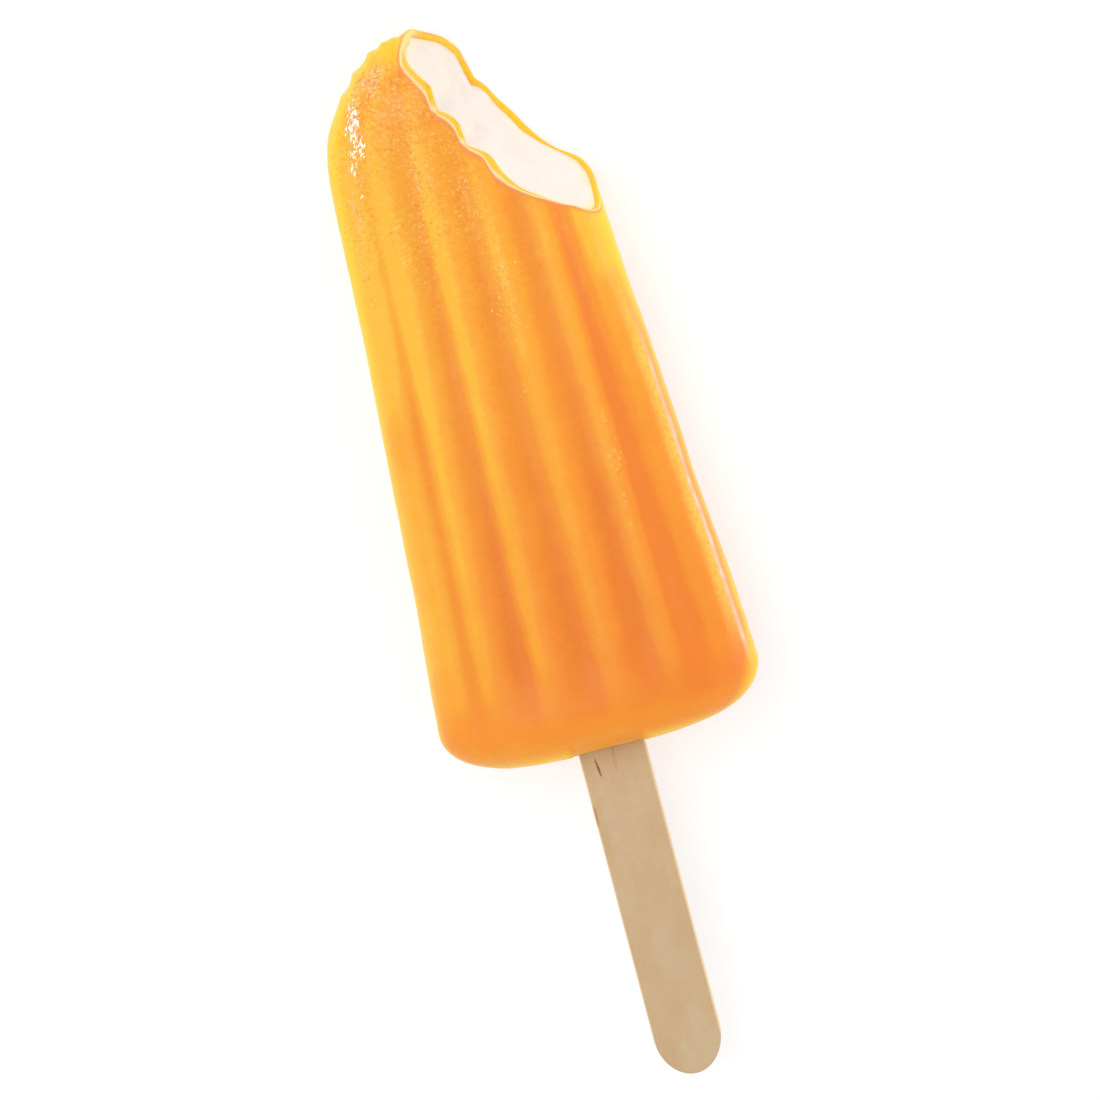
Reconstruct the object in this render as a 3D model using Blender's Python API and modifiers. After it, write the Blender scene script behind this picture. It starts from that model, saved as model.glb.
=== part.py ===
"""Bitten ice lolly on a flat wooden stick, lying on its back with the fluted front up.

The lolly is first worked out in millimetres in its own axes: x across, h along the lolly from
the base at 0 to the tip, z towards the front. It is then laid on the floor, with +Y towards
the tip and +Z up. Three solids: the orange ice coat, the white ice cream in it and the stick.
"""

import math

import bpy
import bmesh
import numpy as np

# Sizes of the body, in millimetres
BODY_LENGTH = 110.6
BASE_HALF_WIDTH = 24.1
SHOULDER_HALF_WIDTH = 18.85
BASE_ROUND = 7.6
BASE_FULLNESS = 3.6
SHOULDER_AT = 90.0
BASE_HALF_THICKNESS = 11.2
TIP_HALF_THICKNESS = 9.2
TIP_THINS_AT = 98.0
SECTION_FULLNESS = 2.7

# Flutes, as shares of the half width, with their depth in millimetres
FLUTE_PITCH = 0.37
FLUTE_DEPTH = 0.9
FLUTES_FADE_FROM = 0.80
FLUTES_FADE_TO = 0.95
FLUTES_START = 6.0
FLUTES_FULL = 17.0
FLUTES_WANE = 84.0
FLUTES_END = 102.0

# Coat, gaps and flute depth on the coat's inner side
COAT_WALL = 1.6
GAP = 0.3
INNER_FLUTE_DEPTH = 0.45

# Stick
STICK_WIDTH = 10.0
STICK_THICKNESS = 2.0
STICK_BELOW = 50.4
STICK_INSIDE = 63.6
STICK_END = 6.4
STICK_EDGE = 0.35

# Bite: its line turns about a point on the axis. p runs along the line, q away from the stick
BITE_AT = 94.5
BITE_TURN = math.radians(53.4)
BITE_HOLLOW = 0.7
BITE_HALF_DEPTH = 9.5
BITE_FRONT = [
    (-24, 6.5), (-18, 2.9), (-13.5, 2.5), (-10, 2.6), (-7, 2.75), (-5.4, 2.05), (-3.9, 1.35),
    (-1.2, 1.9), (0.6, 1.15), (2.5, 0.65), (5.6, 1.25), (7.6, 0.55), (10.8, -0.2), (13.5, 0.1),
    (16.9, 1.05), (19.5, 1.85), (22, 2.1), (26, 2.0), (34, 4.0),
]
BITE_REAR = [
    (-24, 15.0), (-14, 11.6), (-10, 10.0), (-6, 9.3), (-3.6, 7.9), (-1.2, 6.6), (1.5, 6.7),
    (9, 5.9), (12.5, 6.5), (16, 8.0), (19, 10.0), (23, 11.4), (34, 16.0),
]

# Lying down: the back crests are level with the floor, and pressed flat by a hair
REST_TURN = math.atan2(BASE_HALF_THICKNESS - TIP_HALF_THICKNESS, BODY_LENGTH)
REST_FLAT = 0.2
MIDDLE = 29.893
MM = 0.001

# How finely the surfaces are divided
OUTER_BASE = (0.38, 0.62, 0.78, 0.88, 0.94, 0.98, 1.0)
OUTER_BODY = (12.0, 17.0, 31.0, 45.0, 58.0, 71.0, 84.0, SHOULDER_AT)
OUTER_TIP = (12, 24, 35, 45, 55, 64, 73, 81, 87)
INNER_BASE = (0.45, 0.75, 0.9, 1.0)
INNER_BODY = (17.0, 40.0, 62.0, 84.0, SHOULDER_AT)
INNER_TIP = (18, 34, 48, 61, 73, 84)
OUTER_SIDE = (0.83, 0.87, 0.91, 0.95, 0.98, 0.995)
INNER_SIDE = (0.83, 0.91, 0.965, 0.992)


def ramp(x, start, end):
    """Smooth step from 0 at start to 1 at end."""
    t = np.clip((x - start) / (end - start), 0.0, 1.0)
    return t * t * (3.0 - 2.0 * t)


def through(points, x):
    """Smooth curve through points (x, y), with the slope at each taken from its neighbours."""
    px, py = np.array(points, float).T
    slope = np.gradient(py, px)
    x = np.clip(x, px[0], px[-1])
    i = np.clip(np.searchsorted(px, x) - 1, 0, len(px) - 2)
    step = px[i + 1] - px[i]
    t = (x - px[i]) / step
    rise = (2 * t - 3) * t * t
    return (
        (rise + 1) * py[i]
        - rise * py[i + 1]
        + step * t * (1 - t) * ((1 - t) * slope[i] - t * slope[i + 1])
    )


def half_thickness(h):
    return BASE_HALF_THICKNESS + (TIP_HALF_THICKNESS - BASE_HALF_THICKNESS) * h / BODY_LENGTH


def flute(share):
    """1 in the bottom of a flute, 0 on a crest and beyond the outermost flute."""
    wave = (1.0 + np.cos(2.0 * np.pi * share / FLUTE_PITCH)) / 2.0
    return wave * (1.0 - ramp(np.abs(share), FLUTES_FADE_FROM, FLUTES_FADE_TO))


def rings_of(inset, base, body, tip):
    """Half width, half thickness and height of each ring, from base to tip."""
    low = inset
    top = BODY_LENGTH - inset
    taper = (BASE_HALF_WIDTH - SHOULDER_HALF_WIDTH) / (SHOULDER_AT - BASE_ROUND)
    rings = []
    for share in base:
        h = low + (BASE_ROUND - low) * (1.0 - math.sqrt(1.0 - share**BASE_FULLNESS))
        width = (BASE_HALF_WIDTH - inset) * share
        rings.append((width, (half_thickness(h) - inset) * share, h))
    for h in body:
        width = BASE_HALF_WIDTH - taper * (h - BASE_ROUND) - inset
        rings.append((width, half_thickness(h) - inset, h))
    for degrees in tip:
        h = SHOULDER_AT + (top - SHOULDER_AT) * math.sin(math.radians(degrees))
        width = BASE_HALF_WIDTH - taper * (h - BASE_ROUND) - inset
        width *= math.cos(math.radians(degrees))
        thin = max(0.0, h - TIP_THINS_AT) / (top - TIP_THINS_AT)
        depth = (half_thickness(h) - inset) * math.sqrt(1.0 - thin * thin)
        rings.append((width, depth, h))
    return np.array(rings), low, top


def shares_of(per_flute, side):
    """Places across one face, as shares of the half width, from the right edge to the left."""
    step = FLUTE_PITCH / per_flute
    reach = int(0.8 / step)
    middle = [i * step for i in range(-reach, reach + 1)]
    face = sorted([-s for s in side] + middle + list(side), reverse=True)
    return np.array([1.0] + face)


def lay(x, h, z):
    """From the lolly's own axes to metres on the floor."""
    turn_cos = math.cos(REST_TURN)
    turn_sin = math.sin(REST_TURN)
    y = h * turn_cos + z * turn_sin - MIDDLE
    back_crest = BASE_HALF_THICKNESS * (1 - (FLUTE_PITCH / 2) ** SECTION_FULLNESS) ** (
        1 / SECTION_FULLNESS
    )
    up = z * turn_cos - h * turn_sin + back_crest * turn_cos - REST_FLAT
    return np.stack([x, y, up], -1) * MM


def new_object(name, points, faces, collection):
    mesh = bpy.data.meshes.new(name)
    mesh.from_pydata([tuple(p) for p in points], [], faces)
    work = bmesh.new()
    work.from_mesh(mesh)
    bmesh.ops.recalc_face_normals(work, faces=work.faces)
    work.to_mesh(mesh)
    work.free()
    mesh.shade_smooth()
    obj = bpy.data.objects.new(name, mesh)
    collection.objects.link(obj)
    return obj


def lolly_form(name, inset, flutes, divisions, side, per_flute, flat, collection):
    """Closed loft of the whole lolly, drawn in by inset on every side."""
    rings, low, top = rings_of(inset, *divisions)
    front = shares_of(per_flute, side)
    share = np.concatenate([front, -front])
    sign = np.concatenate([np.ones(len(front)), -np.ones(len(front))])
    width = rings[:, 0:1]
    depth = rings[:, 1:2]
    h = rings[:, 2:3] + 0.0 * share
    fade = ramp(h, FLUTES_START, FLUTES_FULL) * (1.0 - ramp(h, FLUTES_WANE, FLUTES_END))
    edge = np.clip(1.0 - np.abs(share) ** SECTION_FULLNESS, 0.0, 1.0)
    z = sign * (depth * edge ** (1.0 / SECTION_FULLNESS) - flutes * fade * flute(share))
    points = lay(width * share, h, z)
    poles = lay(np.zeros(2), np.array([low, top]), np.zeros(2))
    if flat:
        points[..., 2] = np.maximum(points[..., 2], 0.0)
    count = len(share)
    faces = []
    for row in range(len(rings) - 1):
        for i in range(count):
            j = (i + 1) % count
            a = row * count
            b = a + count
            faces.append((a + i, a + j, b + j, b + i))
    first = len(rings) * count
    last = (len(rings) - 1) * count
    for i in range(count):
        j = (i + 1) % count
        faces.append((j, i, first))
        faces.append((last + i, last + j, first + 1))
    points = np.concatenate([points.reshape(-1, 3), poles])
    return new_object(name, points, faces, collection)


def bite_cutter(name, collection):
    """All that the bite took: beyond a line that runs slanting from the front to the rear."""
    along = np.concatenate(
        [np.linspace(-24, -15, 5), np.arange(-13.5, 24.1, 1.25), np.linspace(26, 34, 4)]
    )
    front = through(BITE_FRONT, along)
    rear = through(BITE_REAR, along)
    levels = np.array([15.0, 9.5, 6.0, 2.0, -2.0, -6.0, -9.5, -15.0])
    count = len(along) + 2
    points = []
    for z in levels:
        depth = z / BITE_HALF_DEPTH
        slant = (1.0 - depth) / 2.0
        q = front + (rear - front) * slant
        q = q - BITE_HOLLOW * max(0.0, 1.0 - depth * depth)
        p = np.concatenate([along, [along[-1], along[0]]])
        q = np.concatenate([q, [70.0, 70.0]])
        x = p * math.cos(BITE_TURN) + q * math.sin(BITE_TURN)
        h = BITE_AT - p * math.sin(BITE_TURN) + q * math.cos(BITE_TURN)
        points.append(lay(x, h, z + 0.0 * x))
    faces = [tuple(range(count)), tuple(range((len(levels) - 1) * count, len(levels) * count))]
    for row in range(len(levels) - 1):
        for i in range(count):
            j = (i + 1) % count
            a = row * count
            b = a + count
            faces.append((a + i, a + j, b + j, b + i))
    return new_object(name, np.concatenate(points), faces, collection)


def stick_form(name, grow, below, collection):
    """Flat stick: two straight edges with a long rounded end at each."""
    half = STICK_WIDTH / 2 + grow
    end = STICK_END + grow
    top = STICK_INSIDE + grow
    turn = np.radians(np.linspace(0, 180, 17))
    x = np.concatenate([half * np.cos(turn), -half * np.cos(turn)])
    h = np.concatenate([top - end + end * np.sin(turn), end - below - end * np.sin(turn)])
    thick = STICK_THICKNESS / 2 + grow
    points = np.concatenate([lay(x, h, thick + 0.0 * x), lay(x, h, -thick + 0.0 * x)])
    count = len(x)
    faces = [tuple(range(count)), tuple(range(count, 2 * count))]
    for i in range(count):
        j = (i + 1) % count
        faces.append((i, j, j + count, i + count))
    return new_object(name, points, faces, collection)


def cut(obj, cutter):
    modifier = obj.modifiers.new(cutter.name, "BOOLEAN")
    modifier.operation = "DIFFERENCE"
    modifier.solver = "EXACT"
    modifier.object = cutter


def material(name, colour, roughness):
    made = bpy.data.materials.new(name)
    made.use_nodes = True
    shader = made.node_tree.nodes["Principled BSDF"]
    shader.inputs["Base Color"].default_value = (*colour, 1.0)
    shader.inputs["Roughness"].default_value = roughness
    shader.inputs["Metallic"].default_value = 0.0
    return made


for old in list(bpy.data.objects):
    bpy.data.objects.remove(old, do_unlink=True)

lolly = bpy.data.collections.new("ice_lolly")
cutters = bpy.data.collections.new("cutters")
bpy.context.scene.collection.children.link(lolly)
bpy.context.scene.collection.children.link(cutters)

OUTER = (OUTER_BASE, OUTER_BODY, OUTER_TIP)
INNER = (INNER_BASE, INNER_BODY, INNER_TIP)
coat = lolly_form("shell", 0.0, FLUTE_DEPTH, OUTER, OUTER_SIDE, 8, True, lolly)
hollow = lolly_form(
    "hollow_form", COAT_WALL, INNER_FLUTE_DEPTH, INNER, INNER_SIDE, 4, False, cutters
)
cream = lolly_form(
    "core", COAT_WALL + GAP, INNER_FLUTE_DEPTH, INNER, INNER_SIDE, 4, False, lolly
)
stick = stick_form("stick", 0.0, STICK_BELOW, lolly)
stick_way = stick_form("stick_way", GAP, STICK_BELOW, cutters)
bite = bite_cutter("bite", cutters)

cut(coat, hollow)
cut(coat, bite)
cut(coat, stick_way)
cut(cream, bite)
cut(cream, stick_way)

edges = stick.modifiers.new("edges", "BEVEL")
edges.width = STICK_EDGE * MM
edges.segments = 2
edges.limit_method = "ANGLE"
edges.angle_limit = math.radians(60)
edges.use_clamp_overlap = False

coat.data.materials.append(material("orange_ice", (0.93, 0.37, 0.055), 0.38))
cream.data.materials.append(material("ice_cream", (0.98, 0.91, 0.80), 0.5))
stick.data.materials.append(material("stick_wood", (0.62, 0.43, 0.245), 0.65))

cutters.hide_render = True
for helper in cutters.objects:
    helper.hide_render = True
    helper.display_type = "WIRE"
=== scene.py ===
"""Looks of a bitten orange ice lolly that lies on its back on a pale floor.

All shapes are worked out in millimetres in the lolly's own axes, x across, h along it from the
base at 0 to the tip and z towards the shown front, and are then laid on the floor in metres.
"""

import math

import bpy
import numpy as np
from mathutils import Matrix, Vector


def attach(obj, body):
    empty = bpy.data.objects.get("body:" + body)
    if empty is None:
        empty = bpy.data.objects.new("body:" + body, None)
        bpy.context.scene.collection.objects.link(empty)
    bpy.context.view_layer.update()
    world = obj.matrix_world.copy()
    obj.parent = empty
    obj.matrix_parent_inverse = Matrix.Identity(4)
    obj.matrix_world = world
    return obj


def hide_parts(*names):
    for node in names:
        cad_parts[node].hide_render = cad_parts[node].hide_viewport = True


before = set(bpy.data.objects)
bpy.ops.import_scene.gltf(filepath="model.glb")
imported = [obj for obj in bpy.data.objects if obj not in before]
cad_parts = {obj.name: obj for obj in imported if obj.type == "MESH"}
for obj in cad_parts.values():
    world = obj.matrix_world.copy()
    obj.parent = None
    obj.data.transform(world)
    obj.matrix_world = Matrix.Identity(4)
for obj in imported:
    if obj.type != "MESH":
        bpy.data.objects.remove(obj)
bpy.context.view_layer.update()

# Sizes of the body, as in the solids
BODY_LENGTH = 110.6
BASE_HALF_WIDTH = 24.1
SHOULDER_HALF_WIDTH = 18.85
BASE_ROUND = 7.6
BASE_FULLNESS = 3.6
SHOULDER_AT = 90.0
BASE_HALF_THICKNESS = 11.2
TIP_HALF_THICKNESS = 9.2
TIP_THINS_AT = 98.0
SECTION_FULLNESS = 2.7
COAT_WALL = 1.6

# Flutes, as shares of the half width, and their depth
FLUTE_PITCH = 0.37
FLUTE_DEPTH = 0.9
INNER_FLUTE_DEPTH = 0.45

# Stick
STICK_HALF_WIDTH = 5.0
STICK_HALF_THICKNESS = 1.0
STICK_BELOW = 50.4
STICK_INSIDE = 63.6
STICK_END = 6.4
STICK_EDGE = 0.35

# Bite, in its own frame: p along the bitten line, q away from the stick
BITE_AT = 94.5
BITE_TURN = math.radians(53.4)
BITE_HOLLOW = 0.7
BITE_HALF_DEPTH = 9.5

# The bitten line at the shown front and at the rear, as places (p, q)
BITE_FRONT = [
    (-24, 18.0), (-14.5, 8.5), (-13.8, 5.4), (-13.5, 4.5), (-13.1, 3.55), (-12.6, 2.8),
    (-12, 2.2), (-11, 1.7), (-10, 1.65), (-9, 1.75), (-8, 1.87), (-7, 1.95), (-6, 1.88),
    (-5.1, 1.65), (-4.2, 1.1), (-3.6, 0.65), (-3.1, 0.5), (-2.5, 0.65), (-1.8, 0.92), (-1, 1.02),
    (0, 0.98), (0.8, 0.8), (1.5, 0.48), (2.2, 0.08), (2.8, -0.2), (3.25, -0.32), (3.8, -0.22),
    (4.6, 0.0), (5.5, 0.22), (6.1, 0.3), (6.8, 0.22), (8, -0.25), (9, -0.7), (10, -1.05),
    (11.2, -1.15), (12.4, -1.05), (14, -0.45), (16, 0.4), (17, 0.75), (18, 0.95), (19, 0.98),
    (20, 1.05), (21, 1.3), (22, 1.65), (23, 2.0), (24, 2.3), (25, 2.5), (26, 2.5), (34, 2.5),
]
BITE_REAR = [
    (-24, 15.0), (-15, 12.4), (-12.2, 10.75), (-10.1, 10.2), (-8.7, 10.15), (-7.0, 9.7),
    (-5.4, 9.3), (-3.8, 8.7), (-2.7, 7.95), (-1.7, 7.1), (-1.0, 6.9), (0.7, 7.0), (4.1, 6.75),
    (6.9, 6.6), (9.3, 6.35), (12.1, 6.6), (15.0, 7.75), (17.0, 8.85), (18.8, 10.5), (20.6, 11.8),
    (21.8, 12.5), (22.4, 12.3), (23.4, 11.5), (34, 13.0),
]

# How far the cream stands out of the coat at the front, and how far in at the rear, by p
LIP_RISE = [
    (-15, 0.6), (-12.5, 0.5), (-10, 0.6), (-8, 0.75), (-6, 1.05), (-5.2, 1.2), (-4.4, 1.15),
    (-3.7, 1.0), (-3.1, 0.6), (-2.4, 0.6), (-1.6, 0.7), (0, 0.85), (1.5, 0.95), (2.2, 0.95),
    (2.8, 0.65), (3.3, 0.3), (4.2, 0.25), (5.5, 0.35), (6.8, 0.6), (8, 0.9), (9.3, 1.0),
    (10.3, 1.0), (12, 0.85), (14, 0.35), (16, 0.05), (18, -0.4), (20, -0.3), (24, -0.35),
    (34, -0.35),
]
LIP_FALL = [
    (-15, 0.3), (-11, 0.6), (-8, 0.45), (-4, 0.45), (-2.2, 0.25), (-1, 0.7), (0, 0.5), (2, 0.25),
    (4, 0.45), (8, 0.55), (9.5, 0.5), (11, 0.2), (12.5, 0.0), (14, -0.1), (16, -0.05),
    (18, 0.1), (19.5, 0.4), (21, 0.2), (34, 0.2),
]

# The coat's wall at the bite, by the turn round the section from the right edge over the front:
# thin at the rear and right, thick at the upper left. It begins to change this far below the bite
EDGE_WALL = [
    (0.0, 0.75), (0.5, 0.65), (1.2, 1.15), (2.0, 1.4), (2.7, 1.7), (3.2, 1.6), (3.8, 1.1),
    (5.2, 0.9), (2 * math.pi, 0.75),
]
EDGE_WALL_REACH = 7.0

# Columns round the body, how much closer they stand at the front, and the section they are even on
COLUMNS = 560
FRONT_CLOSENESS = 1.7
MIDDLE_HALF_WIDTH = 21.5
MIDDLE_HALF_THICKNESS = 10.2
SECTION_STEPS = 40001
BITE_STEPS = 2400

# Rows of the coat: body, the close ones in a band below the bite, lip and inside
BODY_ROWS = 127
EDGE_ROWS = 14
EDGE_BAND = 3.0
LIP_ROWS = 10
INSIDE_ROWS = 12
LIP_BULGE = 0.22
LIP_ROUGHNESS = 0.05

# Cream: rows inside the coat and over the bitten face, the face's middle, its gap to the coat
SIDE_ROWS = 15
FACE_ROWS = 62
FACE_MIDDLE = 5.0
CREAM_GAP = 0.02

# Distances over the rounded base and over the tip, which with the body between them make a run
BASE_RUN = 14.0
BODY_RUN = SHOULDER_AT - BASE_ROUND
TIP_RUN = 22.0

# Lying down
REST_TURN = math.atan2(BASE_HALF_THICKNESS - TIP_HALF_THICKNESS, BODY_LENGTH)
REST_FLAT = 0.2
MIDDLE = 29.893
MM = 0.001

# Photo: its scale, the lolly's lean, where its middle lies along the lolly and how the view tilts
PIXELS_PER_MM = 6.82
PHOTO_SIDE = 1100
LEAN = math.radians(14.75)
AIM_ACROSS = -1.41
AIM_ALONG = 29.91
VIEW_TO_TIP = math.radians(8.0)
VIEW_TO_RIGHT = math.radians(4.0)


def ramp(x, start, end):
    """Smooth step from 0 at start to 1 at end."""
    t = np.clip((x - start) / (end - start), 0.0, 1.0)
    return t * t * (3.0 - 2.0 * t)


def bell(x, middle, reach):
    """Bell curve: 1 at middle, about a third one reach away."""
    return np.exp(-(((x - middle) / reach) ** 2))


def through(points, x):
    """Smooth curve through points (x, y), with the slope at each taken from its neighbours."""
    px, py = np.array(points, float).T
    slope = np.gradient(py, px)
    x = np.clip(x, px[0], px[-1])
    i = np.clip(np.searchsorted(px, x) - 1, 0, len(px) - 2)
    step = px[i + 1] - px[i]
    t = (x - px[i]) / step
    rise = (2 * t - 3) * t * t
    return (
        (rise + 1) * py[i]
        - rise * py[i + 1]
        + step * t * (1 - t) * ((1 - t) * slope[i] - t * slope[i + 1])
    )


def lumps(points, size, seed):
    """Soft seeded lumps from -1 to 1, about one size across.

    Random values on a cubic lattice, blended between its eight corners by smooth steps.
    """
    table = np.random.default_rng(seed).uniform(-1.0, 1.0, (32, 32, 32))
    place = points / size + 7.3
    cell = np.floor(place).astype(int)
    part = place - cell
    part = part * part * (3.0 - 2.0 * part)
    total = np.zeros(points.shape[:-1])
    for corner in np.ndindex(2, 2, 2):
        at = (cell + corner) % 32
        weight = np.prod(np.where(corner, part, 1.0 - part), axis=-1)
        total += weight * table[at[..., 0], at[..., 1], at[..., 2]]
    return total


def lay(points):
    """From the lolly's own axes to metres on the floor: turned about x, then moved."""
    x, h, z = np.moveaxis(np.asarray(points, float), -1, 0)
    turn_cos = math.cos(REST_TURN)
    turn_sin = math.sin(REST_TURN)
    crest = (1 - (FLUTE_PITCH / 2) ** SECTION_FULLNESS) ** (1 / SECTION_FULLNESS)
    lift = BASE_HALF_THICKNESS * crest * turn_cos - REST_FLAT
    y = h * turn_cos + z * turn_sin - MIDDLE
    return np.stack([x, y, z * turn_cos - h * turn_sin + lift], -1) * MM


# Form of the body


def half_thickness(h):
    """A straight taper from the base to the tip."""
    return BASE_HALF_THICKNESS + (TIP_HALF_THICKNESS - BASE_HALF_THICKNESS) * h / BODY_LENGTH


def flute(share):
    """1 in the bottom of a flute, 0 on a crest and beyond the outermost flute."""
    wave = (1.0 + np.cos(2.0 * np.pi * share / FLUTE_PITCH)) / 2.0
    return wave * (1.0 - ramp(np.abs(share), 0.80, 0.95))


def flute_fade(h):
    """Flutes rise out of the plain base and run out below the tip."""
    return ramp(h, 6.0, 17.0) * (1.0 - ramp(h, 84.0, 102.0))


def ring_at(w, inset):
    """Half width, half thickness and height of the section at w.

    w runs 0 to 1 round the base, 1 to 2 up the tapering body and 2 to 3 over the tip. The base is
    a power curve, the tip a quarter of an ellipse in width and, further up, in thickness.
    """
    top = BODY_LENGTH - inset
    share = np.sin(np.clip(w, 0.0, 1.0) * np.pi / 2)
    over = (np.clip(w, 2.0, 3.0) - 2.0) * np.pi / 2
    round_h = inset + (BASE_ROUND - inset) * (1 - np.sqrt(1 - share**BASE_FULLNESS))
    body_h = BASE_ROUND + (SHOULDER_AT - BASE_ROUND) * (w - 1.0)
    tip_h = SHOULDER_AT + (top - SHOULDER_AT) * np.sin(over)
    h = np.where(w < 1.0, round_h, np.where(w < 2.0, body_h, tip_h))
    taper = (BASE_HALF_WIDTH - SHOULDER_HALF_WIDTH) / (SHOULDER_AT - BASE_ROUND)
    width = BASE_HALF_WIDTH - taper * np.maximum(h - BASE_ROUND, 0.0) - inset
    thin = np.clip((h - TIP_THINS_AT) / (top - TIP_THINS_AT), 0.0, 1.0)
    depth = (half_thickness(h) - inset) * share * np.sqrt(1.0 - thin * thin)
    return width * share * np.cos(over), depth, h


def section():
    """Places round the section as shares of its half width and half thickness.

    The section is a superellipse. Its places are even along the outline of the middle of the
    body, and closer on the front half. They start at the right edge and go over the front.
    """
    turn = np.linspace(0.0, 2 * np.pi, SECTION_STEPS)
    power = 2.0 / SECTION_FULLNESS
    across = np.sign(np.cos(turn)) * np.abs(np.cos(turn)) ** power
    deep = np.sign(np.sin(turn)) * np.abs(np.sin(turn)) ** power
    step = np.hypot(np.diff(across) * MIDDLE_HALF_WIDTH, np.diff(deep) * MIDDLE_HALF_THICKNESS)
    step *= np.where(turn[1:] < np.pi, FRONT_CLOSENESS, 1.0)
    length = np.concatenate([[0.0], np.cumsum(step)])
    even = np.linspace(0.0, length[-1], COLUMNS, endpoint=False)
    return np.interp(even, length, across), np.interp(even, length, deep)


# A run is a distance up the surface, which is about even in millimetres
RUN_AT = [0.0, BASE_RUN, BASE_RUN + BODY_RUN, BASE_RUN + BODY_RUN + TIP_RUN]
W_AT = [0.0, 1.0, 2.0, 3.0]


def w_of_run(run):
    return np.interp(run, RUN_AT, W_AT)


def run_of_w(w):
    return np.interp(w, W_AT, RUN_AT)


def body_points(w, across, deep, inset, flutes):
    """Points of the body's surface: the section at w, less the flutes on front and back.

    Both sides are drawn in a little by smooth steps along h, and the tip's upper left is
    lowered, as eaten ice is.
    """
    width, depth, h = ring_at(w, inset)
    z = depth * deep - np.sign(deep) * flutes * flute_fade(h) * flute(across)
    right = 0.35 * ramp(h, 50.0, 76.0) + 0.4 * ramp(h, 18.0, 40.0) - 0.45 * ramp(h, 80.0, 88.0)
    left = 0.4 * ramp(h, 12.0, 30.0) * ramp(h, 88.0, 62.0)
    x = width * across - right * ramp(across, 0.5, 1.0) + left * ramp(across, -0.5, -1.0)
    lowered = 1.4 * ramp(h, 96.0, 106.0) * ramp(x, 3.0, -4.0)
    return np.stack([x, h - lowered, z], -1)


def normals_of(points):
    """Outward unit normals of a grid whose columns go round and whose rows go up."""
    round_step = np.roll(points, -1, 1) - np.roll(points, 1, 1)
    up_step = np.gradient(points, axis=0)
    normal = np.cross(up_step, round_step)
    return normal / np.maximum(np.linalg.norm(normal, axis=-1, keepdims=True), 1e-9)


# Bite


def bite_frame(points):
    """Place along the bitten line, p, and away from the stick, q."""
    x = points[..., 0]
    h = points[..., 1] - BITE_AT
    p = x * math.cos(BITE_TURN) - h * math.sin(BITE_TURN)
    return p, x * math.sin(BITE_TURN) + h * math.cos(BITE_TURN)


def from_bite_frame(p, q, z):
    """Points in the lolly's axes from places in the bite's frame."""
    x = p * math.cos(BITE_TURN) + q * math.sin(BITE_TURN)
    return np.stack([x, BITE_AT - p * math.sin(BITE_TURN) + q * math.cos(BITE_TURN), z], -1)


def bite_line(p, z):
    """How far out, in q, the body reaches: front and rear line blended by depth, and hollowed."""
    depth = np.clip(z / BITE_HALF_DEPTH, -1.3, 1.3)
    slant = (1.0 - depth) / 2.0
    line = through(BITE_FRONT, p) * (1.0 - slant) + through(BITE_REAR, p) * slant
    return line - BITE_HOLLOW * np.maximum(0.0, 1.0 - depth * depth) ** 2


def wall_at_bite(across, deep):
    """Wall at the bitten edge per column, from its turn round the section."""
    turn = np.arctan2(deep, across) % (2 * np.pi)
    return np.interp(turn, *np.array(EDGE_WALL).T)


def inner_points(edge_w, up, across, deep, clearance):
    """Inside of the coat, from the base to the bitten edge: up runs 0 to 1 along each column.

    The wall keeps its full thickness until EDGE_WALL_REACH below the edge, and then narrows or
    widens to the one at the bite. The clearance is taken off all the way.
    """
    edge_run = run_of_w(edge_w)
    run = edge_run * up
    at_edge = ramp(edge_run - run, EDGE_WALL_REACH, 0.0)
    wall = COAT_WALL + (wall_at_bite(across, deep) - COAT_WALL) * at_edge + clearance
    return body_points(w_of_run(run), across, deep, wall, INNER_FLUTE_DEPTH)


def cream_line(p, z):
    """How far out the cream reaches: the bitten line, raised at the front, lowered at the rear."""
    rise = through(LIP_RISE, p) * ramp(z, -3.0, 5.0)
    return bite_line(p, z) + rise - through(LIP_FALL, p) * ramp(z, 1.0, -6.0)


def bite_edge(across, deep, inset, flutes, line):
    """w at which each column of the surface first crosses the given line, between two steps."""
    w = np.linspace(1.0, 2.999, BITE_STEPS)[:, None]
    points = body_points(w, across, deep, inset, flutes)
    p, q = bite_frame(points)
    beyond = q - line(p, points[..., 2])
    first = np.argmax(beyond > 0.0, axis=0)
    column = np.arange(len(across))
    high = beyond[first, column]
    low = beyond[first - 1, column]
    return w[first - 1, 0] + (w[1, 0] - w[0, 0]) * low / (low - high)


# Meshes


def closed_grid(rows, columns, first=0):
    """Quads of a grid that closes round its columns, facing out when its rows go up."""
    i = np.arange(columns)
    j = (i + 1) % columns
    low = first + np.arange(rows - 1)[:, None] * columns
    quads = np.stack([low + j, low + i, low + columns + i, low + columns + j], -1)
    return quads.reshape(-1, 4)


def fan(ring, pole, flip):
    """Triangles from a closed ring of points to one pole."""
    after = np.roll(ring, -1)
    pair = (ring, after) if flip else (after, ring)
    return np.stack([*pair, np.full(len(ring), pole)], -1)


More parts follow.
